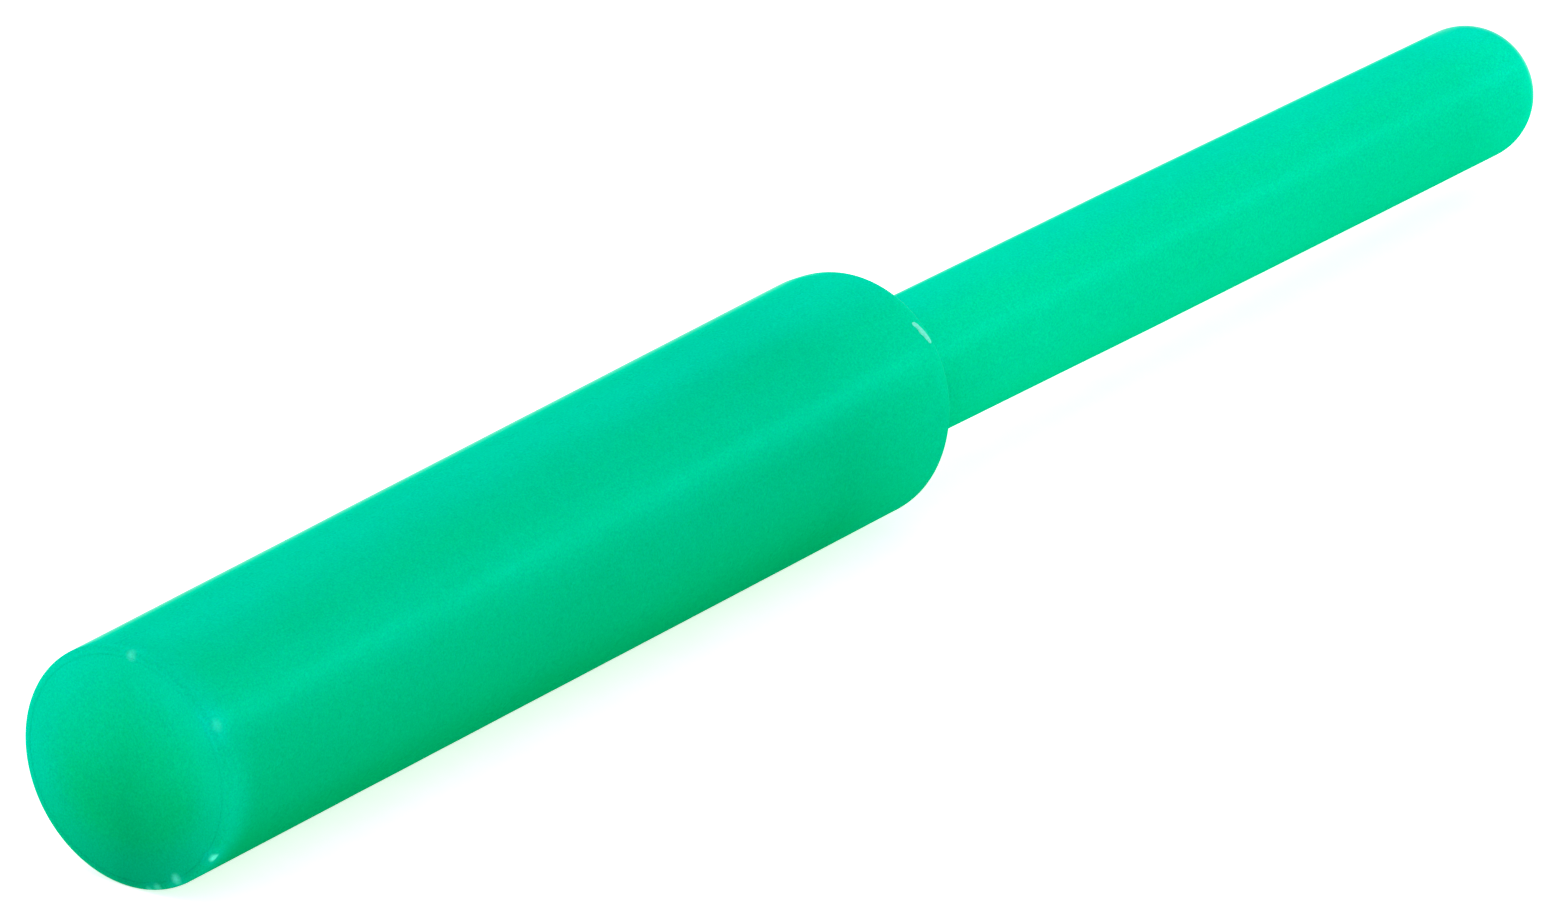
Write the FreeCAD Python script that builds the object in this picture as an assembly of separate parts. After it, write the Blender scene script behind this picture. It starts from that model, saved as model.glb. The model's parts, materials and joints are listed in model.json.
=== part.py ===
import FreeCAD, Part
import math
import os

# Chemical light stick for a single-use laryngoscope.
#
# A fat barrel tube with a welded end plug, and a thin, closed stem tube welded into the neck at
# the barrel's other end. A thin-walled sealed glass ampoule of activator floats inside the barrel,
# in the dye solution that fills the barrel and the stem. Bending the barrel snaps the ampoule.
# The stem droops by about a degree and sits a little below the barrel's axis.
#
# Frame: millimetres. +X runs along the barrel's axis from the base face to the stem's end, +Z is
# up with the stick lying on its side. The origin is the centre of the flat base face. The stem is
# drawn straight along +X, and then tilted and dropped into its place.

Vector = FreeCAD.Vector
ORIGIN = Vector(0, 0, 0)
X_AXIS = Vector(1, 0, 0)
Y_AXIS = Vector(0, 1, 0)

# Names ending in _R are radii, and names ending in _X are places along the axis.

OVERALL_LENGTH = 76.20        # base face to stem tip before the stem is tilted, a 3 inch stick

# Barrel tube
BARREL_R = 4.19
BARREL_LENGTH = 40.65         # base face to where the shoulder's rounding would end
SHOULDER_ROUND = 2.18         # rounding from the barrel down to the neck
RIM_ROUND = 0.20              # rounding of the base rim
BORE_R = 3.30
NECK_X = 38.50                # inner face of the neck
NECK_ROUND = 0.85             # inside rounding from the bore to the neck's inner face
NECK_ROUND_X = NECK_X - NECK_ROUND
NECK_CORE_R = 1.20            # hole in the blank before the neck is bored for the stem

# Stem tube
STEM_DROOP = 1.10             # degrees that the stem dips from the barrel's axis
STEM_DROP = 0.24              # how far the stem sits below the barrel's axis at the shoulder
STEM_ROOT_X = 38.60           # the spigot starts here
STEM_STEP_X = 40.58           # the step that seats on the barrel's crown face
STEM_SPIGOT_R = 2.15          # outside, in the neck
STEM_SEAT_R = 2.385           # outside, along the straight seat beyond the neck
STEM_SEAT_END_X = 55.00       # the wall drafts in from here
STEM_TIP_R = 2.31             # outside, where the tip's rounding starts
TIP_ROUND = 2.20
STEM_BORE_ROOT_R = 1.50
STEM_BORE_TIP_R = 1.45
STEM_BORE_END_X = 75.10       # inside end of the stem's bore
STEM_BORE_ROUND = 1.20

# End plug
PLUG_HEAD_R = 3.90            # the head sits in a counterbore, flush with the base face
PLUG_HEAD_LENGTH = 1.20
PLUG_DEPTH = 3.00             # base face to the plug's inner face
PLUG_LEAD = 0.20              # lead-in chamfer on the spigot
SEAM_CHAMFER = 0.05           # small V groove at the welded seam, on both edges

# Glass ampoule
AMPOULE_R = 2.80
AMPOULE_WALL = 0.25
AMPOULE_INNER_R = AMPOULE_R - AMPOULE_WALL
BASE_DOME_X = 7.50            # centre of the dome beside the sealing nib
FAR_DOME_X = 34.30            # centre of the plain dome, towards the stem
NIB_R = 0.45
NIB_END_X = 4.10
TRAVEL_AHEAD = 1.50           # free axial float towards the stem

# Liquids
LIQUID_GAP = 0.02             # liquids stand this far off the walls that hold them
FLOAT_GAP = 0.05              # room left round the ampoule over its travel
DYE_LEVEL = 2.45              # surface height above the axis, stick lying flat
ACTIVATOR_LEVEL = 1.80        # surface height above the axis, stick lying flat

# Cutting tools: generous sizes that reach past the parts they cut
CUTTER_LENGTH = 10
CUTTER_WIDTH = 20
CUTTER_MARGIN = 10            # how far a cutter passes the stick's ends, or the axis sideways
NECK_HOLE_LEAD = 4            # the neck hole's cutter starts this far before the neck
CAVITY_OVERLAP = 1.5          # the stem's cavity starts this far before the neck
ROOM_OVERLAP = 1.0            # the ampoule's room starts this far inside the plug


# ---------------------------------------------------------------- helpers
def short_arc(start, centre, end):
    """The shorter arc about centre; each argument is a point (x, r)."""
    centre_x, centre_r = centre
    start_angle = math.atan2(start[1] - centre_r, start[0] - centre_x)
    end_angle = math.atan2(end[1] - centre_r, end[0] - centre_x)
    turn = (end_angle - start_angle + math.pi) % (2 * math.pi) - math.pi
    radius = math.hypot(start[0] - centre_x, start[1] - centre_r)
    mid_angle = start_angle + turn / 2
    middle = Vector(centre_x + radius * math.cos(mid_angle),
                    centre_r + radius * math.sin(mid_angle), 0)
    return Part.Arc(Vector(*start, 0), middle, Vector(*end, 0)).toShape()


def turned(steps):
    """A solid turned about X from a closed half profile.

    The first entry is a point (x, r). Each later one is a point for a straight edge, or
    (centre, point) for the short arc about centre.
    """
    here = steps[0]
    edges = []
    for step in steps[1:] + [steps[0]]:
        if isinstance(step[0], tuple):
            centre, there = step
            edges.append(short_arc(here, centre, there))
        else:
            there = step
            edges.append(Part.makeLine(Vector(*here, 0), Vector(*there, 0)))
        here = there
    solid = Part.Face(Part.Wire(edges)).revolve(ORIGIN, X_AXIS, 360)
    # The profile's direction decides which way the faces point, so turn them outwards.
    if solid.Volume < 0:
        solid.reverse()
    return solid


def seated(shape):
    """A shape drawn along +X, moved to where the stem really sits."""
    shape = shape.copy()
    shape.rotate(Vector(BARREL_LENGTH, 0, 0), Y_AXIS, STEM_DROOP)
    shape.translate(Vector(0, 0, -STEM_DROP))
    return shape


def above(level):
    """Everything higher than level, over the whole stick."""
    return Part.makeBox(OVERALL_LENGTH + 2 * CUTTER_MARGIN, CUTTER_WIDTH, CUTTER_LENGTH,
                        Vector(-CUTTER_MARGIN, -CUTTER_MARGIN, level))


def ampoule_inside(radius):
    """A round-ended rod on the ampoule's two dome centres."""
    return turned([
        (BASE_DOME_X - radius, 0.0),
        ((BASE_DOME_X, 0.0), (BASE_DOME_X, radius)),
        (FAR_DOME_X, radius),
        ((FAR_DOME_X, 0.0), (FAR_DOME_X + radius, 0.0)),
    ])


# ---------------------------------------------------------------- parts
def barrel_tube():
    """Tube with a counterbore for the plug, and a neck that follows the stem's tilt."""
    shoulder_x = BARREL_LENGTH - SHOULDER_ROUND
    crown_r = BARREL_R - SHOULDER_ROUND
    blank = turned([
        (0.0, PLUG_HEAD_R + SEAM_CHAMFER),
        (0.0, BARREL_R - RIM_ROUND),
        ((RIM_ROUND, BARREL_R - RIM_ROUND), (RIM_ROUND, BARREL_R)),
        (shoulder_x, BARREL_R),
        ((shoulder_x, crown_r), (BARREL_LENGTH, crown_r)),
        (BARREL_LENGTH, NECK_CORE_R),
        (NECK_X, NECK_CORE_R),
        (NECK_X, BORE_R - NECK_ROUND),
        ((NECK_ROUND_X, BORE_R - NECK_ROUND), (NECK_ROUND_X, BORE_R)),
        (PLUG_HEAD_LENGTH, BORE_R),
        (PLUG_HEAD_LENGTH, PLUG_HEAD_R),
        (SEAM_CHAMFER, PLUG_HEAD_R),
    ])
    neck_hole = Part.makeCylinder(STEM_SPIGOT_R, CUTTER_LENGTH,
                                  Vector(NECK_X - NECK_HOLE_LEAD, 0, 0), X_AXIS)
    # Trimming here leaves a narrow crown face, square to the stem, for the stem's step.
    beyond_crown = Part.makeBox(CUTTER_LENGTH, CUTTER_WIDTH, CUTTER_WIDTH,
                                Vector(STEM_STEP_X, -CUTTER_MARGIN, -CUTTER_MARGIN))
    return blank.cut(seated(neck_hole)).cut(seated(beyond_crown))


def stem_tube():
    """Tube open to the barrel and closed at its slightly blunt, domed tip."""
    tip_x = OVERALL_LENGTH - TIP_ROUND
    tip_flat_r = STEM_TIP_R - TIP_ROUND
    bore_round_x = STEM_BORE_END_X - STEM_BORE_ROUND
    bore_flat_r = STEM_BORE_TIP_R - STEM_BORE_ROUND
    return seated(turned([
        (STEM_ROOT_X, STEM_BORE_ROOT_R),
        (STEM_ROOT_X, STEM_SPIGOT_R),
        (STEM_STEP_X, STEM_SPIGOT_R),
        (STEM_STEP_X, STEM_SEAT_R),
        (STEM_SEAT_END_X, STEM_SEAT_R),
        (tip_x, STEM_TIP_R),
        ((tip_x, tip_flat_r), (OVERALL_LENGTH, tip_flat_r)),
        (OVERALL_LENGTH, 0.0),
        (STEM_BORE_END_X, 0.0),
        (STEM_BORE_END_X, bore_flat_r),
        ((bore_round_x, bore_flat_r), (bore_round_x, STEM_BORE_TIP_R)),
    ]))


def end_plug():
    """A head that seats in the barrel's counterbore, and a spigot down the bore."""
    return turned([
        (0.0, 0.0),
        (0.0, PLUG_HEAD_R - SEAM_CHAMFER),
        (SEAM_CHAMFER, PLUG_HEAD_R),
        (PLUG_HEAD_LENGTH, PLUG_HEAD_R),
        (PLUG_HEAD_LENGTH, BORE_R),
        (PLUG_DEPTH - PLUG_LEAD, BORE_R),
        (PLUG_DEPTH, BORE_R - PLUG_LEAD),
        (PLUG_DEPTH, 0.0),
    ])


def glass_ampoule():
    """Glass tube with a plain dome towards the stem and a sealed nib towards the plug."""
    nib_round_x = NIB_END_X + NIB_R
    nib_join_x = BASE_DOME_X - math.sqrt(AMPOULE_R ** 2 - NIB_R ** 2)
    skin = turned([
        (NIB_END_X, 0.0),
        ((nib_round_x, 0.0), (nib_round_x, NIB_R)),
        (nib_join_x, NIB_R),
        ((BASE_DOME_X, 0.0), (BASE_DOME_X, AMPOULE_R)),
        (FAR_DOME_X, AMPOULE_R),
        ((FAR_DOME_X, 0.0), (FAR_DOME_X + AMPOULE_R, 0.0)),
    ])
    return skin.cut(ampoule_inside(AMPOULE_INNER_R))


def activator_liquid():
    """Fills the ampoule up to a gas bubble along the top."""
    return ampoule_inside(AMPOULE_INNER_R - LIQUID_GAP).cut(above(ACTIVATOR_LEVEL))


def dye_solution():
    """Fills the barrel and the stem round the ampoule, up to a gas space along the top."""
    barrel_cavity = turned([
        (PLUG_DEPTH + LIQUID_GAP, 0.0),
        (PLUG_DEPTH + LIQUID_GAP, BORE_R - LIQUID_GAP),
        (NECK_ROUND_X, BORE_R - LIQUID_GAP),
        ((NECK_ROUND_X, BORE_R - NECK_ROUND), (NECK_X - LIQUID_GAP, BORE_R - NECK_ROUND)),
        (NECK_X - LIQUID_GAP, 0.0),
    ])
    root_r = STEM_BORE_ROOT_R - LIQUID_GAP
    end_x = STEM_BORE_END_X - LIQUID_GAP
    round_x = STEM_BORE_END_X - STEM_BORE_ROUND
    flat_r = STEM_BORE_TIP_R - STEM_BORE_ROUND
    stem_cavity = seated(turned([
        (NECK_X - CAVITY_OVERLAP, 0.0),
        (NECK_X - CAVITY_OVERLAP, root_r),
        (STEM_ROOT_X, root_r),
        (round_x, STEM_BORE_TIP_R - LIQUID_GAP),
        ((round_x, flat_r), (end_x, flat_r)),
        (end_x, 0.0),
    ]))
    cavity = barrel_cavity.fuse(stem_cavity)

    # Room for the ampoule, from the plug to the far end of its float.
    room_r = AMPOULE_R + FLOAT_GAP
    room_start_x = PLUG_DEPTH - ROOM_OVERLAP
    room_dome_x = FAR_DOME_X + TRAVEL_AHEAD
    room = turned([
        (room_start_x, 0.0),
        (room_start_x, room_r),
        (room_dome_x, room_r),
        ((room_dome_x, 0.0), (room_dome_x + room_r, 0.0)),
    ])
    return cavity.cut(room).cut(above(DYE_LEVEL))


# ---------------------------------------------------------------- output
os.makedirs("parts", exist_ok=True)
for build in (barrel_tube, stem_tube, end_plug, glass_ampoule, activator_liquid, dye_solution):
    name = build.__name__
    part = build()
    if not part.isValid() or len(part.Solids) != 1:
        raise RuntimeError(name + " is not one valid solid")
    part.exportStep(os.path.join("parts", name + ".step"))
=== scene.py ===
# A chemical light stick lying along X: the plugged base end of its barrel is at x = 0, the barrel
# runs to a rounded shoulder, and a slightly tilted stem runs on from there to a round tip at +X.
# Shapes are drawn in millimetres about the barrel's axis (y = z = 0) and built in metres.
# Angles about X start at +Y and turn towards +Z.
import json
import math

import bmesh
import bpy
import numpy as np
from mathutils import Matrix, Vector, noise


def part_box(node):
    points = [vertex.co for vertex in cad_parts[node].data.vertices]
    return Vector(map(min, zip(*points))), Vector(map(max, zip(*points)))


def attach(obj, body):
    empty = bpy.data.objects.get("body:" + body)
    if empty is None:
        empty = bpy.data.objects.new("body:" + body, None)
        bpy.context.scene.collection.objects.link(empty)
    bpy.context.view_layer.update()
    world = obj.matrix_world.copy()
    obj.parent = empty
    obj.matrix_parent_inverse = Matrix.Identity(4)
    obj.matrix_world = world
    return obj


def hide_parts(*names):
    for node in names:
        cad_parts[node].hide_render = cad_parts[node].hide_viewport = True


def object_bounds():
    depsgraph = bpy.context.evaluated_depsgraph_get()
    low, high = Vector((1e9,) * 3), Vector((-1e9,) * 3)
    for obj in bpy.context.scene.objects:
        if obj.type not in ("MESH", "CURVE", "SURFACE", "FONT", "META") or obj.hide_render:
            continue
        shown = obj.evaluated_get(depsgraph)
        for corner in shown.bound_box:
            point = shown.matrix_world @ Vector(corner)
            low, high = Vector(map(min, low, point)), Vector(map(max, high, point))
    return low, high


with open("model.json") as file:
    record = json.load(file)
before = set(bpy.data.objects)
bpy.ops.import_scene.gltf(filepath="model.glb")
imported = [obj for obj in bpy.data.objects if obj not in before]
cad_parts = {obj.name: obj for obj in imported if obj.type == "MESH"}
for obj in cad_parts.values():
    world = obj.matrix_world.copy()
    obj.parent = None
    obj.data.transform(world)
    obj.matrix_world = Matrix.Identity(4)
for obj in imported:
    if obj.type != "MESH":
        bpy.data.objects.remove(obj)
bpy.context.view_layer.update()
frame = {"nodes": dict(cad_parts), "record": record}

MM = 0.001

# ------------------------------------------------------------------ sizes (mm)
seats = {mount["name"]: mount for mount in frame["record"]["mounts"]}
stem_seat = seats["stem_seat"]

BARREL_R = seats["barrel_seat"]["dims"]["r_mm"]
RIM = 0.20              # rounding of the barrel's base edge
BORE_R = 3.30
SHOULDER = 2.18         # rounding of the shoulder
SHOULDER_END = 40.65    # x where the full rounding would end
SHOULDER_X = SHOULDER_END - SHOULDER
NECK_X = 38.50          # inner face of the barrel's end wall
NECK_ROUND = 0.85
NECK_HOLE_R = BORE_R - NECK_ROUND

PLUG_R = 3.90           # the plug's wide flange
FLANGE_X = 1.2
PLUG_X = (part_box("end_plug")[1] / MM).x
PLUG_EDGE = 0.2         # chamfer at the plug's inner end
DISH = 0.045            # depth of the hollow in the plug's outer face
SEAM = 0.012            # gap between plug and barrel

STEM_R = stem_seat["dims"]["r_mm"]
ROOT_X = 38.60          # hidden start of the stem, inside the barrel
ROOT_R = 2.15
STEP_X = 40.58          # where the stem leaves the crown of the shoulder
SEAT_END = 55.0         # end of the straight part, before the taper
TIP_X, TIP_R, TIP_ROUND = 76.20, 2.31, 2.20
FILLET = 0.17           # weld fillet at the stem's root
STEM_BORE_X = 73.9      # start of the rounded end of the stem's bore
STEM_BORE_ROUND, STEM_BORE_FLAT_R = 1.20, 0.25

# the shoulder's cap is shifted sideways by LEAN, towards +Y and +Z
LEAN, LEAN_ANGLE = 0.17, math.radians(52.0)
LEAN_Y, LEAN_Z = math.cos(LEAN_ANGLE), math.sin(LEAN_ANGLE)

# moulding waves: height, frequency and shift along x, frequency across, shift along z
BARREL_WAVES = ((0.0070, 0.16, 0, 1.3, 7), (0.0026, 0.55, 3, 3.1, 0), (0.0010, 1.9, 9, 8.0, 0))
STEM_WAVES = ((0.0050, 0.2, 31, 1.2, 0), (0.0020, 0.7, 5, 2.6, 0))

# the stem's real axis, and the direction square to it and to Y
SEAT_MID = Vector(stem_seat["pos_m"]) / MM
STEM_DIR = Vector(stem_seat["axis"]).normalized()
STEM_UP = Vector((-STEM_DIR.z, 0.0, STEM_DIR.x))


def seated(x, y, z):
    """A point of the stem drawn along +X, moved onto the stem's real axis."""
    from_mid = x - (STEP_X + SEAT_END) / 2
    return SEAT_MID + STEM_DIR * from_mid + Vector((0, 1, 0)) * y + STEM_UP * z


CROWN = seated(STEP_X, 0, 0)


def crown_plane(z):
    """x of the barrel's crown face, which is square to the stem."""
    return CROWN.x - (z - CROWN.z) * STEM_DIR.z / STEM_DIR.x


# ------------------------------------------------------------------ mesh helpers
def arc(centre_x, centre_r, radius, start, end, count):
    """Points on an arc in the (x, r) plane, in degrees from the +r axis towards +x."""
    return [(centre_x + radius * math.sin(math.radians(a)),
             centre_r + radius * math.cos(math.radians(a)))
            for a in np.linspace(start, end, count)]


def line(start, end, steps):
    """Points on a straight line, without its first one."""
    return [(start[0] + (end[0] - start[0]) * t, start[1] + (end[1] - start[1]) * t)
            for t in np.linspace(0, 1, steps + 1)[1:]]


def around_x(x, r, angle):
    return x, r * math.cos(angle), r * math.sin(angle)


def fade(x, start, end):
    """Smooth rise from 0 at start to 1 at end."""
    t = min(1.0, max(0.0, (x - start) / (end - start)))
    return t * t * (3 - 2 * t)


def waves(x, angle, table):
    y, z = math.cos(angle), math.sin(angle)
    return sum(height * noise.noise(Vector((x * along + shift_x, y * across,
                                            z * across + shift_z)))
               for height, along, shift_x, across, shift_z in table)


def as_drawn(index, x, y, z):
    return x, y, z


def turned(name, profile, segments, shape, place=as_drawn):
    """A closed mesh turned about X from a half profile. A profile that starts and ends on the
    axis gets poles; any other is a closed loop. shape(x, r, angle) gives the moved (x, r), and
    place(index, x, y, z) then puts the point where it really goes."""
    verts, rings = [], []
    for i, (x, r) in enumerate(profile):
        first = len(verts)
        if r < 1e-6:
            verts.append(place(i, x, 0.0, 0.0))
        else:
            for k in range(segments):
                angle = 2 * math.pi * k / segments
                verts.append(place(i, *around_x(*shape(x, r, angle), angle)))
        rings.append(range(first, len(verts)))
    pairs = list(zip(rings[:-1], rings[1:]))
    if len(rings[0]) > 1:
        pairs.append((rings[-1], rings[0]))
    faces = []
    for p, q in pairs:
        for k in range(segments):
            j = (k + 1) % segments
            if len(p) == 1:
                faces.append((p[0], q[j], q[k]))
            elif len(q) == 1:
                faces.append((p[k], p[j], q[0]))
            else:
                faces.append((p[k], p[j], q[j], q[k]))
    return finish_mesh(name, verts, faces, sharp=35.0)


def tube_faces(rings, across, closed):
    """Quads between consecutive rings of points, back to the first ring if closed."""
    faces = []
    for i in range(rings if closed else rings - 1):
        n = (i + 1) % rings
        for j in range(across):
            m = (j + 1) % across
            faces.append((i * across + j, i * across + m, n * across + m, n * across + j))
    return faces


def finish_mesh(name, verts, faces, sharp):
    """A smooth-shaded object from points in mm, with edges above sharp degrees kept hard."""
    mesh = bpy.data.meshes.new(name)
    mesh.from_pydata([tuple(c * MM for c in v) for v in verts], [], faces)
    bm = bmesh.new()
    bm.from_mesh(mesh)
    bmesh.ops.recalc_face_normals(bm, faces=bm.faces)
    bm.to_mesh(mesh)
    bm.free()
    mesh.polygons.foreach_set("use_smooth", [True] * len(mesh.polygons))
    mesh.set_sharp_from_angle(angle=math.radians(sharp))
    piece = bpy.data.objects.new(name, mesh)
    bpy.context.scene.collection.objects.link(piece)
    return piece


# ------------------------------------------------------------------ barrel
def barrel_wave(x, r, angle):
    """Faint flow waves in the outer wall, faded out at the rim and the shoulder."""
    if r < BORE_R + 0.3 or x < RIM:
        return x, r
    keep = fade(x, RIM, 2.2) * (1 - fade(x, SHOULDER_X - 0.4, SHOULDER_X + 1.6))
    return x, r + waves(x, angle, BARREL_WAVES) * keep


def make_barrel():
    outside = [(0.0, PLUG_R + SEAM), (0.0, BARREL_R - RIM)]
    outside += arc(RIM, BARREL_R - RIM, RIM, start=-90, end=0, count=9)[1:]
    outside += line((RIM, BARREL_R), (SHOULDER_X, BARREL_R), steps=110)
    outside += arc(SHOULDER_X, BARREL_R - SHOULDER, SHOULDER, start=0, end=80, count=44)[1:]
    neck = [(STEP_X, ROOT_R), (ROOT_X, ROOT_R), (NECK_X, ROOT_R)]
    inside = [(NECK_X, NECK_HOLE_R)]
    inside += arc(NECK_X - NECK_ROUND, NECK_HOLE_R, NECK_ROUND, start=90, end=0, count=12)[1:]
    inside += line((NECK_X - NECK_ROUND, BORE_R), (FLANGE_X, BORE_R), steps=24)
    inside += [(FLANGE_X, PLUG_R), (SEAM, PLUG_R)]

    def place(index, x, y, z):
        """The outside leans and stops at the crown; the neck follows the stem's axis."""
        neck_ring = index - len(outside)
        if neck_ring < 0:
            shift = LEAN * fade(x, SHOULDER_X + 0.25, SHOULDER_X + 1.55)
            return min(x, crown_plane(z)), y + shift * LEAN_Y, z + shift * LEAN_Z
        if neck_ring < 2:
            return seated(x, y, z)
        if neck_ring == 2:
            point = seated(x, y, z)
            return NECK_X, point.y, point.z
        return x, y, z

    return turned("barrel_shell", outside + neck + inside, 288, barrel_wave, place)


# ------------------------------------------------------------------ stem
def stem_wave(x, r, angle):
    """Faint waves in the stem's skin, faded out at the root and the tip."""
    if r < 2.0 and x < TIP_X - 2.3 or x < STEP_X + 0.3:
        return x, r
    keep = fade(x, STEP_X + 0.3, STEP_X + 2.0) * (1 - fade(x, TIP_X - 2.4, TIP_X - 1.0))
    return x, r + waves(x, angle, STEM_WAVES) * keep


def make_stem():
    bore_end = STEM_BORE_X + STEM_BORE_ROUND
    bore = [(bore_end, 0.0), (bore_end, STEM_BORE_FLAT_R)]
    bore += arc(STEM_BORE_X, STEM_BORE_FLAT_R, STEM_BORE_ROUND, start=90, end=0, count=12)[1:]
    bore += line((STEM_BORE_X, STEM_BORE_FLAT_R + STEM_BORE_ROUND), (ROOT_X, 1.50), steps=24)
    skin = [(ROOT_X, ROOT_R), (STEP_X, ROOT_R)]
    fillet = [(STEP_X - 0.04, STEM_R + FILLET)]
    fillet += arc(STEP_X + FILLET, STEM_R + FILLET, FILLET, start=270, end=180, count=7)
    fillet_start = len(bore) + len(skin)
    fillet_rings = range(fillet_start, fillet_start + len(fillet))
    skin += fillet
    skin += line((STEP_X + FILLET, STEM_R), (SEAT_END, STEM_R), steps=44)
    skin += line((SEAT_END, STEM_R), (TIP_X - TIP_ROUND, TIP_R), steps=56)
    skin += arc(TIP_X - TIP_ROUND, TIP_R - TIP_ROUND, TIP_ROUND, start=0, end=90, count=40)[1:]
    skin += [(TIP_X, 0.0)]

    def place(index, x, y, z):
        """On the real axis; the outer edge of the fillet follows the leaning cap."""
        shift = 0.0
        if index in fillet_rings:
            shift = LEAN * min(1.0, max(0.0, (math.hypot(y, z) - STEM_R) / FILLET))
        return seated(x, y + shift * LEAN_Y, z + shift * LEAN_Z)

    return turned("stem_shell", bore + skin, 224, stem_wave, place)


# ------------------------------------------------------------------ end plug
def plug_dish(x, r, angle):
    """A shallow, faintly rippled dish in the plug's outer face."""
    if x > 0.03:
        return x, r
    y, z = r * math.cos(angle), r * math.sin(angle)
    dish = DISH * (1 - fade(r, 2.6, 3.6))
    ripple = 0.004 * noise.noise(Vector((y * 0.9, z * 0.9, 4.0))) * (1 - fade(r, 3.3, 3.8))
    return x + dish + ripple, r


def make_plug():
    profile = [(DISH, 0.0)] + [(0.0, r) for r in np.linspace(0.15, PLUG_R - SEAM, 36)]
    profile += [(SEAM, PLUG_R), (FLANGE_X, PLUG_R), (FLANGE_X, BORE_R),
                (PLUG_X - PLUG_EDGE, BORE_R), (PLUG_X, BORE_R - PLUG_EDGE)]
    profile += [(PLUG_X, r) for r in np.linspace(BORE_R - PLUG_EDGE, 0.2, 12)[1:]]
    profile += [(PLUG_X, 0.0)]
    return turned("end_plug_disc", profile, 224, plug_dish)


# ------------------------------------------------------------------ weld flash
FLASH_X, FLASH_R = 0.004, PLUG_R + 0.006
FLASH_SIZE = 0.008      # mean half thickness of the bead
FLASH_FLAT = 0.55       # its thickness along x against that along r
NUB_FLAT = 0.55         # the same for the nubs, on top of FLASH_FLAT

# swellings of the bead: degrees about X, half width in degrees, height
NUBS = [(94, 3.2, 0.050), (132, 5.0, 0.010), (146, 6.0, 0.036), (216, 3.4, 0.055),
        (240, 3.4, 0.045), (254, 4.6, 0.036), (20, 5.0, 0.012), (318, 4.5, 0.016),
        (287, 3.5, 0.012), (58, 4.0, 0.010), (352, 3.5, 0.010)]


def make_flash():
    """A thin uneven bead along the plug's seam."""
    around, across = 720, 10
    verts = []
    for k in range(around):
        angle = 2 * math.pi * k / around
        degrees = 360.0 * k / around
        uneven = noise.noise(Vector((math.cos(angle) * 6, math.sin(angle) * 6, 2.0)))
        size = FLASH_SIZE * (1 + 0.5 * uneven)
        nub = 0.0
        for centre, width, height in NUBS:
            away = (degrees - centre + 180) % 360 - 180
            ragged = 1 + 0.5 * noise.noise(Vector((degrees * 0.7, centre, 0)))
            nub += height * math.exp(-(away / width) ** 2) * ragged
        for j in range(across):
            t = 2 * math.pi * j / across
            r = FLASH_R + (size + nub) * math.cos(t)
            x = FLASH_X + (size + nub * NUB_FLAT) * FLASH_FLAT * math.sin(t)
            verts.append(around_x(x, r, angle))
    faces = tube_faces(around, across, closed=True)
    return finish_mesh("seam_flash", verts, faces, sharp=60)


# ------------------------------------------------------------------ burr on the shoulder, with a painted glint
BURR_ANGLES = (130.0, 142.5)    # degrees about X, from end to end
BURR_TILTS = (17.0, 25.5)       # degrees round the shoulder's rounding, at those ends
BURR_WIDTH, BURR_HEIGHT = 0.20, 0.075


def make_burr():
    """A slim raised sliver on the shoulder's rounding, left where the stem was welded in; its pale
    colour and stronger glow paint a glint on it.
    """
    steps, across = 40, 10
    centre_r = BARREL_R - SHOULDER
    verts = []
    for i in range(steps + 1):
        tilt = math.radians(BURR_TILTS[0] + (BURR_TILTS[1] - BURR_TILTS[0]) * i / steps)
        s = i / steps
        angle = math.radians(BURR_ANGLES[0] + (BURR_ANGLES[1] - BURR_ANGLES[0]) * s)
        body = math.sqrt(max(0.0, 1 - (2 * s - 1) ** 2)) ** 0.6
        uneven = 0.8 + 0.35 * noise.noise(Vector((s * 5, 1.0, 0.0)))
        width = BURR_WIDTH * body * uneven + 0.006
        height = BURR_HEIGHT * body + 0.005
        for j in range(across):
            t = 2 * math.pi * j / across
            lean = tilt + width * math.cos(t) / SHOULDER
            radius = SHOULDER + height * math.sin(t)
            verts.append(around_x(SHOULDER_X + radius * math.sin(lean),
                                  centre_r + radius * math.cos(lean), angle))
    faces = tube_faces(steps + 1, across, closed=False)
    faces.append(tuple(range(across)))
    faces.append(tuple(steps * across + j for j in reversed(range(across))))
    return finish_mesh("shoulder_burr", verts, faces, sharp=70)


barrel = make_barrel()
stem = make_stem()
plug = make_plug()
flash = make_flash()
burr = make_burr()


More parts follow.
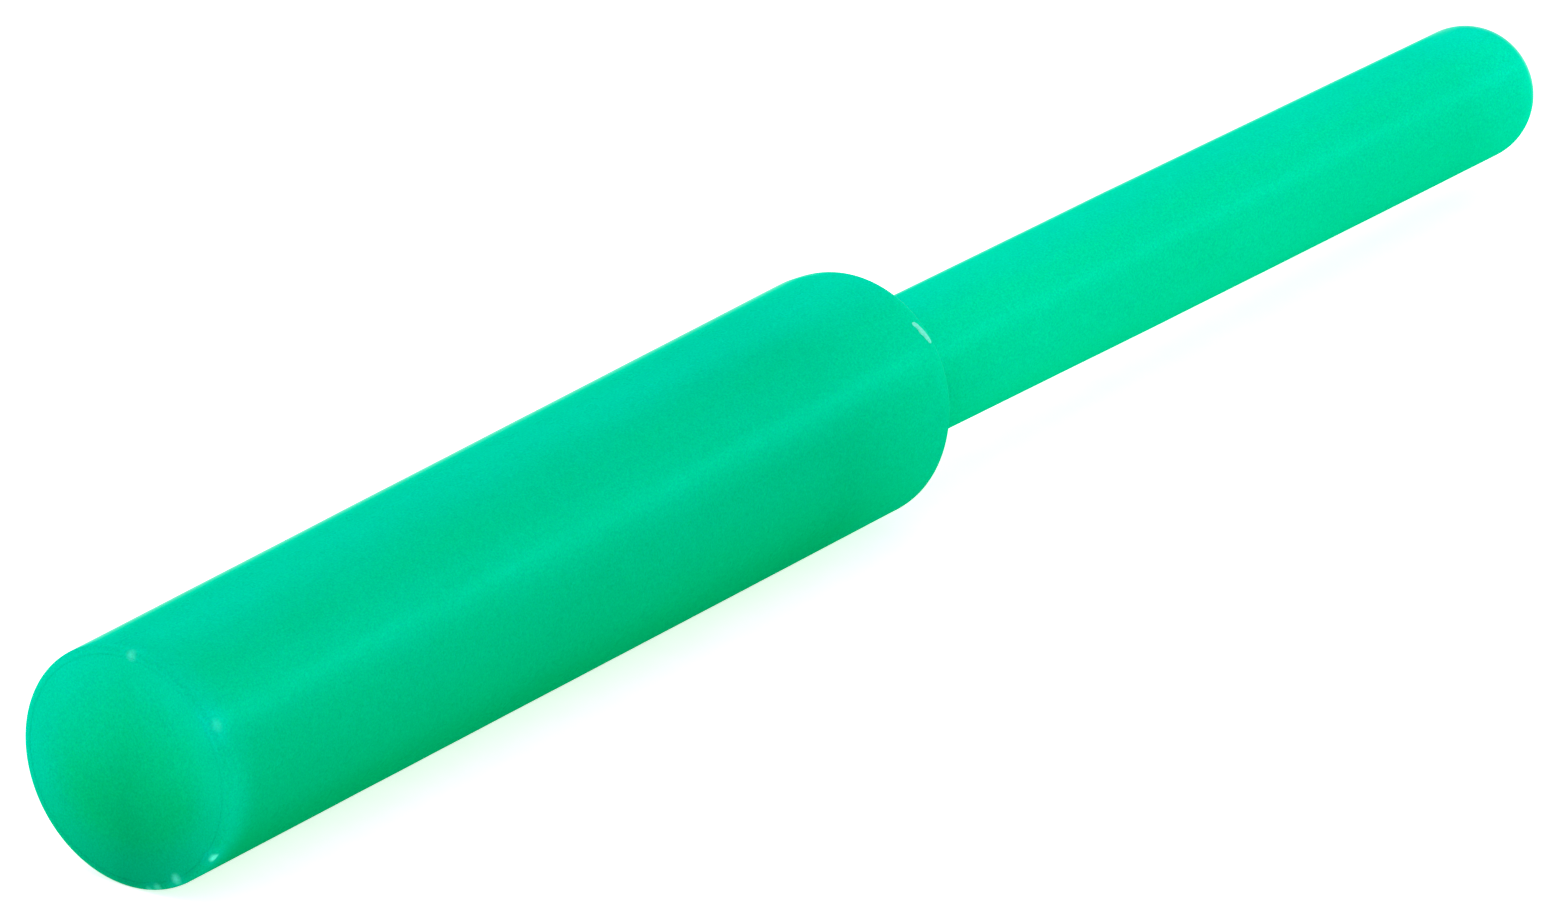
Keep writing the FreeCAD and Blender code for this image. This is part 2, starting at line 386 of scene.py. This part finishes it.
# ------------------------------------------------------------------ shader helpers
class Nodes:
    """Adds nodes to a tree. An input takes a socket to link, or a plain value."""

    def __init__(self, tree):
        self.tree = tree

    def feed(self, socket, value):
        if isinstance(value, bpy.types.NodeSocket):
            self.tree.links.new(value, socket)
        elif socket.type == "RGBA":
            socket.default_value = (*value, 1.0)
        else:
            socket.default_value = value

    def add(self, kind, inputs=None, **settings):
        made = self.tree.nodes.new(kind)
        for name, value in settings.items():
            setattr(made, name, value)
        for key, value in (inputs or {}).items():
            self.feed(made.inputs[key], value)
        return made

    def math(self, operation, *values):
        made = self.add("ShaderNodeMath", dict(enumerate(values)), operation=operation)
        return made.outputs[0]

    def plus(self, a, b):
        return self.math("ADD", a, b)

    def minus(self, a, b):
        return self.math("SUBTRACT", a, b)

    def times(self, a, b):
        return self.math("MULTIPLY", a, b)

    def radius(self, y, z):
        return self.math("SQRT", self.plus(self.times(y, y), self.times(z, z)))

    def scaled(self, vector, factor):
        return self.add("ShaderNodeVectorMath", {0: vector, "Scale": factor},
                        operation="SCALE").outputs[0]

    def remap(self, value, span, to=(0.0, 1.0), smooth=False):
        return self.add("ShaderNodeMapRange", dict(enumerate((value, *span, *to))),
                        interpolation_type="SMOOTHSTEP" if smooth else "LINEAR").outputs[0]

    def ramp(self, value, stops, interpolation="LINEAR"):
        """Stops are (position, colour or grey level)."""
        made = self.add("ShaderNodeValToRGB", {0: value})
        made.color_ramp.interpolation = interpolation
        elements = made.color_ramp.elements
        while len(elements) < len(stops):
            elements.new(0.5)
        for element, (position, colour) in zip(elements, stops):
            element.position = position
            rgb = colour if isinstance(colour, tuple) else (colour,) * 3
            element.color = (*rgb, 1.0)
        return made.outputs[0]

    def along(self, x, stops):
        """A value that follows stops of (x in mm, value) along the stick."""
        start, end = stops[0][0], stops[-1][0]
        return self.ramp(self.remap(x, (start, end)),
                         [((at - start) / (end - start), value) for at, value in stops])

    def noise(self, vector, scale, detail=2.0, rough=0.5, distortion=0.0,
              stretch=(1, 1, 1), offset=(0, 0, 0)):
        mapped = self.add("ShaderNodeMapping",
                          {"Scale": stretch, "Location": offset, "Vector": vector}).outputs[0]
        return self.add("ShaderNodeTexNoise", {
            "Scale": scale, "Detail": detail, "Roughness": rough,
            "Distortion": distortion, "Vector": mapped}).outputs["Fac"]

    def mix(self, share, first, second, blend="MIX"):
        return self.add("ShaderNodeMix", {0: share, 6: first, 7: second}, data_type="RGBA",
                        blend_type=blend, clamp_factor=True).outputs[2]

    def multiply(self, colour, tint):
        return self.mix(1.0, colour, tint, blend="MULTIPLY")

    def tinted(self, colour, tint, share):
        return self.mix(share, colour, self.multiply(colour, tint))

    def by_ray(self, unseen, seen):
        """One value for camera rays (seen) and another for all other rays."""
        rays = self.add("ShaderNodeLightPath").outputs["Is Camera Ray"]
        return self.remap(rays, (0.0, 1.0), to=(unseen, seen))

    def output(self, share, first, second):
        """The material's output: a mix of two shaders."""
        mixed = self.add("ShaderNodeMixShader",
                         {0: share, 1: first.outputs[0], 2: second.outputs[0]})
        self.add("ShaderNodeOutputMaterial", {0: mixed.outputs[0]})


def new_material(name):
    """An empty material, its nodes, and the object position in mm."""
    material = bpy.data.materials.new(name)
    material.use_nodes = True
    material.node_tree.nodes.clear()
    nodes = Nodes(material.node_tree)
    place = nodes.add("ShaderNodeTexCoord").outputs["Object"]
    return material, nodes, nodes.scaled(place, 1000.0)


def linear(level):
    """Linear value of an 8-bit sRGB level."""
    c = level / 255.0
    return c / 12.92 if c < 0.04045 else ((c + 0.055) / 1.055) ** 2.4


# ------------------------------------------------------------------ colours of the plastic, with painted light, shade and glints
# green and blue levels (8-bit sRGB) that the end face shows, from deep to bright; they paint its
# light and shade
FACE_SHADES = [(150, 94), (162, 102), (172, 110), (180, 117), (187, 122), (195, 134),
               (200, 143), (205, 154), (208, 161), (212, 170), (217, 180)]
GREEN_SHOWN, BLUE_SHOWN = 1.443, 1.500      # shown value over the plug's own colour
FACE_DEEP, FACE_BRIGHT = 150.0, 230.0       # range of face level that the shades cover
FACE_KNEE, FACE_SQUEEZE = 200, 0.6          # above the knee, green rises this much slower
FACE_MID = 187.0                            # face level at the axis
# painted light: the face brightens by up to these levels at its edge, upwards, towards +Y and
# towards -Y
FACE_LIGHT_UP, FACE_LIGHT_PLUS_Y, FACE_LIGHT_MINUS_Y = 26.0, 24.0, 11.0   # gain at the edge, each way
EDGE_TINT = (1.0, 1.0, 1.28)
# painted light on the face's lower sides near the rim, as brighter tints: direction in y and z,
# reach (mm) where it fades in, tint
FACE_SIDE_LIGHTS = ((-0.788, -0.616, (2.2, 3.8), (1.0, 1.06, 1.08)),
              (0.643, -0.766, (1.4, 3.6), (1.0, 1.10, 1.10)))

# painted shade and light: darker and greener towards the underside, lighter to the top; height
# from underside (0) to top (1), colour
BARREL_SHADED_TONES = [(0.0, (0.0, 0.21, 0.058)), (0.25, (0.0, 0.256, 0.082)),
                (0.37, (0.0, 0.294, 0.109)), (0.50, (0.0, 0.322, 0.131)),
                (0.63, (0.0, 0.362, 0.161)), (0.75, (0.0, 0.442, 0.224)),
                (0.854, (0.0, 0.452, 0.228)), (0.933, (0.0, 0.430, 0.213)),
                (0.975, (0.0, 0.422, 0.230)), (1.0, (0.0, 0.440, 0.262))]
STEM_SHADED_TONES = [(0.0, (0.0, 0.355, 0.152)), (0.25, (0.0, 0.412, 0.185)),
              (0.5, (0.0, 0.452, 0.214)), (0.63, (0.0, 0.494, 0.240)),
              (0.80, (0.0, 0.540, 0.284)), (0.93, (0.0, 0.536, 0.280)),
              (1.0, (0.0, 0.500, 0.298))]
# painted glint: the burr's pale colours
BURR_GLINT_TONES = [(0.0, (0.09, 0.52, 0.39)), (1.0, (0.13, 0.56, 0.43))]
# painted light and shade on the barrel's rim: its brightness by height as above
RIM_SHADE_LEVELS = [(0.0, 0.88), (0.25, 0.92), (0.5, 0.96), (0.75, 1.05), (0.9, 1.03), (1.0, 0.93)]
# x, how far the colour has gone from the barrel's to the stem's
NECK_BLEND = [(33.5, 0.0), (36.0, 0.30), (38.2, 0.55), (41.2, 0.61), (42.6, 0.86),
              (44.0, 0.96), (46.5, 1.0)]
# x, share of the paler tint at the stem's tip
TIP_BLEND = [(71.0, 0.0), (74.0, 0.8), (76.2, 1.0)]
TIP_TINT = (1.0, 1.11, 1.24)

# painted glints: pale spots round the larger nubs of flash: degrees about X, x, radius, weight,
# width (mm)
GLINT_SPOTS = ((94, 0.06, 3.98, 0.5, 0.7), (146, 0.10, 4.02, 0.8, 1.1), (213, 0.10, 4.02, 1.0, 0.7),
         (240, 0.06, 3.98, 1.2, 0.6), (255, 0.06, 3.98, 0.8, 0.5))
GLINT_TINT = (1.0, 1.11, 1.36)
# their painted bright cores, in the same columns
GLINT_CORES = ((93.5, 0.05, 4.02, 0.50, 0.26), (146.5, 0.30, 4.19, 0.22, 0.32),
         (212.3, 0.12, 4.15, 0.95, 0.19), (214.2, 0.10, 4.14, 0.80, 0.17),
         (239.0, 0.00, 3.92, 0.65, 0.26), (252.0, 0.05, 4.05, 0.40, 0.22),
         (257.5, 0.10, 4.12, 0.40, 0.20))
GLINT_CORE_COLOUR = (0.07, 0.64, 0.46)

# colour of the shine: Fresnel value, colour
DYED_SHINE = (0.0, 0.80, 0.53)
SHINE = [(0.0, (0.0, 0.80, 0.52)), (0.42, (0.0, 0.80, 0.54)), (0.7, (0.32, 0.85, 0.69)),
         (1.0, (0.8, 0.92, 0.88))]
TIP_SHINE = [(0.0, (0.0, 0.80, 0.52)), (0.22, (0.0, 0.80, 0.54)), (0.5, (0.50, 0.86, 0.74)),
             (1.0, (0.8, 0.92, 0.88))]


def face_shaded_tone(nodes, y, z):
    """Colour of the base end, with painted light and shade: deepest low in the middle, brighter to
    the top and to both sides, most on +Y."""
    up = nodes.times(z, FACE_LIGHT_UP / PLUG_R)
    plus_y = nodes.times(nodes.math("MAXIMUM", y, 0.0), FACE_LIGHT_PLUS_Y / PLUG_R)
    minus_y = nodes.times(nodes.math("MAXIMUM", nodes.times(y, -1.0), 0.0),
                          FACE_LIGHT_MINUS_Y / PLUG_R)
    level = nodes.plus(nodes.plus(up, FACE_MID), nodes.plus(plus_y, minus_y))
    stops = []
    for green, blue in FACE_SHADES:
        at = green
        if green >= FACE_KNEE:
            at = FACE_KNEE + (green - FACE_KNEE) / FACE_SQUEEZE
        stops.append(((at - FACE_DEEP) / (FACE_BRIGHT - FACE_DEEP),
                      (0.0, linear(green) / GREEN_SHOWN, linear(blue) / BLUE_SHOWN)))
    tone = nodes.ramp(nodes.remap(level, (FACE_DEEP, FACE_BRIGHT)), stops)
    edge = nodes.remap(nodes.radius(y, z), (2.2, 3.5), smooth=True)
    low = nodes.remap(z, (2.2, -2.6), to=(0.10, 1.0), smooth=True)
    tone = nodes.tinted(tone, EDGE_TINT, share=nodes.times(edge, low))
    for toward_y, toward_z, span, tint in FACE_SIDE_LIGHTS:
        reach = nodes.plus(nodes.times(y, toward_y), nodes.times(z, toward_z))
        tone = nodes.tinted(tone, tint, share=nodes.remap(reach, span, smooth=True))
    return tone


def shaded_skin_tone(nodes, zone, x, y, z, height):
    """Colour of a zone, with painted shade and light by height; height runs from -1 on the
    underside to 1 on top.
    """
    if zone in ("face", "flash"):
        return face_shaded_tone(nodes, y, z)
    rise = nodes.remap(height, (-1.0, 1.0))
    if zone == "burr":
        return nodes.ramp(rise, BURR_GLINT_TONES, "EASE")
    # painted shade: by height, darker and greener towards the underside, lighter to the top
    tone = nodes.mix(nodes.along(x, NECK_BLEND),
                     nodes.ramp(rise, BARREL_SHADED_TONES), nodes.ramp(rise, STEM_SHADED_TONES))
    if zone == "stem":
        return nodes.tinted(tone, TIP_TINT, share=nodes.along(x, TIP_BLEND))
    # the barrel starts in the end face's colour and painted shading, with painted light and shade
    # on its rim
    off_base = nodes.remap(x, (0.0, 1.8), smooth=True)
    rim = nodes.mix(nodes.remap(x, (0.0, RIM)), (1.0, 1.0, 1.0), nodes.ramp(rise, RIM_SHADE_LEVELS))
    return nodes.mix(off_base, nodes.multiply(face_shaded_tone(nodes, y, z), rim), tone)


def painted_weld_glints(nodes, position, spots, strength=1.0):
    """Painted glints: sum of soft pale spots round the larger nubs of weld flash."""
    total = None
    for degrees, x, r, weight, width in spots:
        distance = nodes.add("ShaderNodeVectorMath", {
            0: position, 1: around_x(x, r, math.radians(degrees))}, operation="DISTANCE")
        near = nodes.remap(distance.outputs["Value"], (0.0, width), to=(1.0, 0.0), smooth=True)
        spot = nodes.times(near, weight * strength)
        total = spot if total is None else nodes.plus(total, spot)
    return total


def mottled(nodes, position, tone, grain):
    """The tone with uneven brightness, and with its blue drifting a little."""
    gain = 1.0
    layers = (
        # cloudy mixing of the dye
        (0.09, dict(scale=0.30, detail=3.0, rough=0.55, distortion=0.4, stretch=(0.6, 1, 1))),
        # long flow streaks
        (0.05, dict(scale=1.1, distortion=0.2, stretch=(0.05, 1, 1), offset=(3, 1, 2))),
        # fine grain
        (grain, dict(scale=15.0, detail=1.0, rough=0.8)),
        # specks
        (0.04, dict(scale=3.2, rough=0.6, offset=(11, 4, 2))),
    )
    total = None
    for strength, texture in layers:
        layer = nodes.times(nodes.minus(nodes.noise(position, **texture), 0.5), strength)
        total = layer if total is None else nodes.plus(total, layer)
    colour = nodes.scaled(tone, nodes.times(nodes.plus(total, 1.0), gain))
    drift = nodes.noise(position, scale=0.45, distortion=0.3, stretch=(0.5, 1, 1),
                        offset=(7, 2, 9))
    drift = nodes.remap(drift, (0.3, 0.7), to=(0.97, 1.03))
    blue_grain = nodes.noise(position, scale=15.0, detail=1.0, rough=0.8, offset=(41, 17, 5))
    blue_grain = nodes.remap(blue_grain, (0.2, 0.8), to=(0.84, 1.16))
    red, green, blue = nodes.add("ShaderNodeSeparateColor", {0: colour}).outputs
    blue = nodes.times(blue, nodes.times(drift, blue_grain))
    return nodes.add("ShaderNodeCombineColor", {0: red, 1: green, 2: blue}).outputs[0]


def shine_colour(nodes, zone, x, height, fresnel):
    """The shine takes the dye's colour, and turns pale only where it is seen edge on."""
    pale = nodes.ramp(fresnel, SHINE)
    upper = nodes.remap(height, (-0.3, 0.8), smooth=True)
    if zone == "stem":
        tip = nodes.remap(x, (72.6, 74.6), smooth=True)
        pale = nodes.mix(tip, pale, nodes.ramp(fresnel, TIP_SHINE))
    return nodes.mix(upper, DYED_SHINE, pale)


def plastic(name, zone, roughness=(0.24, 0.34), glow=0.3, grain=0.55):
    """Dyed translucent polyethylene. zone is "barrel", "stem", "face" for the plug, "flash"
    for its weld bead, or "burr"."""
    material, nodes, position = new_material(name)
    x, y, z = nodes.add("ShaderNodeSeparateXYZ", {0: position}).outputs
    over_axis = z
    if zone == "stem":
        run = nodes.times(nodes.minus(x, CROWN.x), STEM_DIR.z / STEM_DIR.x)
        over_axis = nodes.minus(z, nodes.plus(run, CROWN.z))
    # towards the axis, on the tip and the crown, height above the axis counts for less
    least_radius = 1.9 if zone == "stem" else 2.4
    radius = nodes.math("MAXIMUM", nodes.radius(y, over_axis), least_radius)
    height = nodes.math("DIVIDE", over_axis, radius)

    tone = shaded_skin_tone(nodes, zone, x, y, z, height)
    # painted glints: paler spots and bright cores round the larger nubs of weld flash
    if zone in ("barrel", "face", "flash"):
        spots = painted_weld_glints(nodes, position, GLINT_SPOTS, strength=0.35 if zone == "face" else 1.0)
        tone = nodes.tinted(tone, GLINT_TINT, share=spots)
        tone = nodes.mix(painted_weld_glints(nodes, position, GLINT_CORES), tone, GLINT_CORE_COLOUR)
    colour = mottled(nodes, position, tone, grain)

    rough = nodes.noise(position, scale=0.9, detail=3.0, rough=0.6, distortion=0.3,
                        offset=(5, 5, 5))
    rough = nodes.remap(rough, (0.3, 0.7), to=roughness)
    fine = nodes.noise(position, scale=6.0, rough=0.55)
    broad = nodes.noise(position, scale=0.8, detail=1.0, stretch=(0.6, 1, 1))
    bump = nodes.add("ShaderNodeBump", {
        "Strength": 0.07, "Distance": 0.00004,
        "Height": nodes.plus(nodes.times(fine, 0.15), broad)})
    body = nodes.add("ShaderNodeBsdfPrincipled", {
        "Base Color": colour, "Roughness": rough, "Normal": bump.outputs[0],
        "IOR": 1.5, "Specular IOR Level": 0.0,
        "Subsurface Weight": 0.25, "Subsurface Radius": (0.25, 1.0, 0.7),
        "Subsurface Scale": 0.0006, "Emission Color": colour, "Emission Strength": glow})

    fresnel = nodes.add("ShaderNodeFresnel", {"IOR": 1.5}).outputs[0]
    shine = nodes.add("ShaderNodeBsdfGlossy", {
        "Color": shine_colour(nodes, zone, x, height, fresnel), "Roughness": rough})
    share = nodes.remap(height, (-0.7, 0.45), to=(0.18, 0.85), smooth=True)
    if zone == "flash":
        share = nodes.times(share, 0.4)
    if zone == "barrel":
        # the weld has left the shoulder duller
        dull = nodes.remap(x, (38.3, 39.4), to=(0.0, 0.85), smooth=True)
        share = nodes.times(share, nodes.minus(1.0, dull))
    nodes.output(nodes.times(fresnel, share), body, shine)
    return material


def clear(name, tint, body, share, glow=0.0):
    """A liquid or glass seen through a thin skin: mostly clear, with a faint body colour."""
    material, nodes, position = new_material(name)
    cloud = nodes.noise(position, scale=0.5, detail=3.0, distortion=0.6)
    stops = [(0.3, tuple(c * 0.9 for c in body)), (0.7, body)]
    colour = nodes.scaled(nodes.ramp(cloud, stops, "EASE"), 1.0)
    through = nodes.add("ShaderNodeBsdfTransparent", {0: tint})
    surface = nodes.add("ShaderNodeBsdfPrincipled", {
        "Base Color": colour, "Roughness": 0.05,
        "Emission Color": colour, "Emission Strength": glow})
    facing = nodes.add("ShaderNodeLayerWeight", {"Blend": 0.35}).outputs["Facing"]
    amount = nodes.remap(nodes.plus(facing, nodes.times(cloud, 0.1)), (0.0, 1.0),
                         to=(share, min(1.0, share + 0.5)))
    nodes.output(amount, through, surface)
    return material


# ------------------------------------------------------------------ dress and hand over the pieces
# object, material, slot name
pieces = (
    (barrel, plastic("barrel_plastic", "barrel"), "barrel_plastic"),
    (stem, plastic("stem_plastic", "stem", roughness=(0.32, 0.42)), "stem_plastic"),
    (plug, plastic("plug_plastic", "face"), "plug_plastic"),
    (flash, plastic("flash_plastic", "flash", roughness=(0.40, 0.50)), "plug_plastic"),
    # painted glint: the burr's pale tones and stronger glow stand for a glint on the shoulder
    (burr, plastic("burr_plastic", "burr", roughness=(0.3, 0.4), glow=0.5, grain=0.4),
     "barrel_plastic"),
)
contents = (
    ("glass_ampoule", clear("ampoule_glass", tint=(0.93, 0.98, 0.96),
                            body=(0.80, 0.92, 0.88), share=0.10)),
    ("activator_liquid", clear("activator_fill", tint=(0.80, 0.95, 0.90),
                               body=(0.55, 0.85, 0.72), share=0.25, glow=0.1)),
    ("dye_solution", clear("dye_fill", tint=(0.05, 0.80, 0.50),
                           body=(0.0, 0.66, 0.34), share=0.55, glow=0.35)),
)
for name, material in contents:
    part = frame["nodes"][name]
    if len(part.material_slots) == 0:
        part.data.materials.append(material)
    for slot in part.material_slots:
        slot.link = "OBJECT"
        slot.material = material
for piece, material, slot_name in pieces:
    piece.data.materials.append(material)
    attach(piece, "shell")
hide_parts("barrel_tube")
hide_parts("stem_tube")
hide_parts("end_plug")

# ------------------------------------------------------------------ floor, light, camera (m)
FLOOR_HALF = 12.0
LIGHT_TARGET = Vector((0.035, 0, 0))
scene = bpy.context.scene


def make_floor():
    """A white paper floor under the stick."""
    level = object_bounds()[0].z
    material = bpy.data.materials.new("floor_paper")
    material.use_nodes = True
    nodes = Nodes(material.node_tree)
    place = nodes.add("ShaderNodeTexCoord").outputs["Object"]
    fibres = nodes.add("ShaderNodeTexNoise", {"Scale": 900.0, "Detail": 2.0, "Vector": place})
    white = nodes.ramp(fibres.outputs["Fac"], [(0.0, 0.90), (1.0, 0.93)], "EASE")
    paper = material.node_tree.nodes["Principled BSDF"]
    for key, value in {"Base Color": white, "Roughness": 0.95, "Specular IOR Level": 0.0,
                       "Emission Color": white,
                       "Emission Strength": nodes.by_ray(unseen=0.55, seen=0.75)}.items():
        nodes.feed(paper.inputs[key], value)
    mesh = bpy.data.meshes.new("floor")
    corners = ((-1, -1), (1, -1), (1, 1), (-1, 1))
    mesh.from_pydata([(x * FLOOR_HALF, y * FLOOR_HALF, level) for x, y in corners],
                     [], [(0, 1, 2, 3)])
    floor = bpy.data.objects.new("floor", mesh)
    scene.collection.objects.link(floor)
    mesh.materials.append(material)


def make_world():
    world = bpy.data.worlds.new("studio")
    scene.world = world
    world.use_nodes = True
    nodes = Nodes(world.node_tree)
    background = world.node_tree.nodes["Background"]
    nodes.feed(background.inputs[0], (1.0, 1.0, 1.0))
    nodes.feed(background.inputs[1], nodes.by_ray(unseen=0.70, seen=1.0))


def softbox(name, direction, distance, length, width, watts):
    """An area light in the given direction from the target, its length lying along X."""
    outward = Vector(direction).normalized()
    long_side = Vector((1, 0, 0))
    long_side = (long_side - outward * long_side.dot(outward)).normalized()
    turn = Matrix((long_side, outward.cross(long_side), outward)).transposed()
    light = bpy.data.lights.new(name, "AREA")
    light.shape = "RECTANGLE"
    light.size, light.size_y = length, width
    light.energy = watts
    box = bpy.data.objects.new(name, light)
    box.matrix_world = Matrix.Translation(LIGHT_TARGET + outward * distance) @ turn.to_4x4()
    box.visible_camera = False
    scene.collection.objects.link(box)


def make_camera():
    """A long lens behind the base end, looking down the stick from -X, -Y and above."""
    position = Vector((-0.913755, -0.706107, 0.497993))
    right = Vector((0.596903, -0.802313, 0.0))
    up = Vector((0.311838, 0.232001, 0.921375))
    forward = Vector((0.739232, 0.549972, -0.388674))
    lens = bpy.data.cameras.new("camera")
    lens.lens = 900.0
    lens.sensor_width = 36.0
    lens.sensor_fit = "HORIZONTAL"
    lens.clip_start, lens.clip_end = 0.01, 100.0
    camera = bpy.data.objects.new("camera", lens)
    scene.collection.objects.link(camera)
    turn = Matrix((right, up, -forward)).transposed()
    camera.matrix_world = Matrix.Translation(position) @ turn.to_4x4()
    scene.camera = camera


make_floor()
make_world()
softbox("key_top", direction=(0.1, 0.45, 1.0), distance=0.9, length=1.2, width=0.9, watts=5.0)
softbox("strip_line", direction=(0.739, -0.553, 0.389), distance=0.6, length=0.42, width=0.07,
        watts=0.36)
make_camera()
scene.view_settings.view_transform = "Standard"
scene.view_settings.look = "None"
scene.view_settings.exposure = 0.0
scene.view_settings.gamma = 1.0
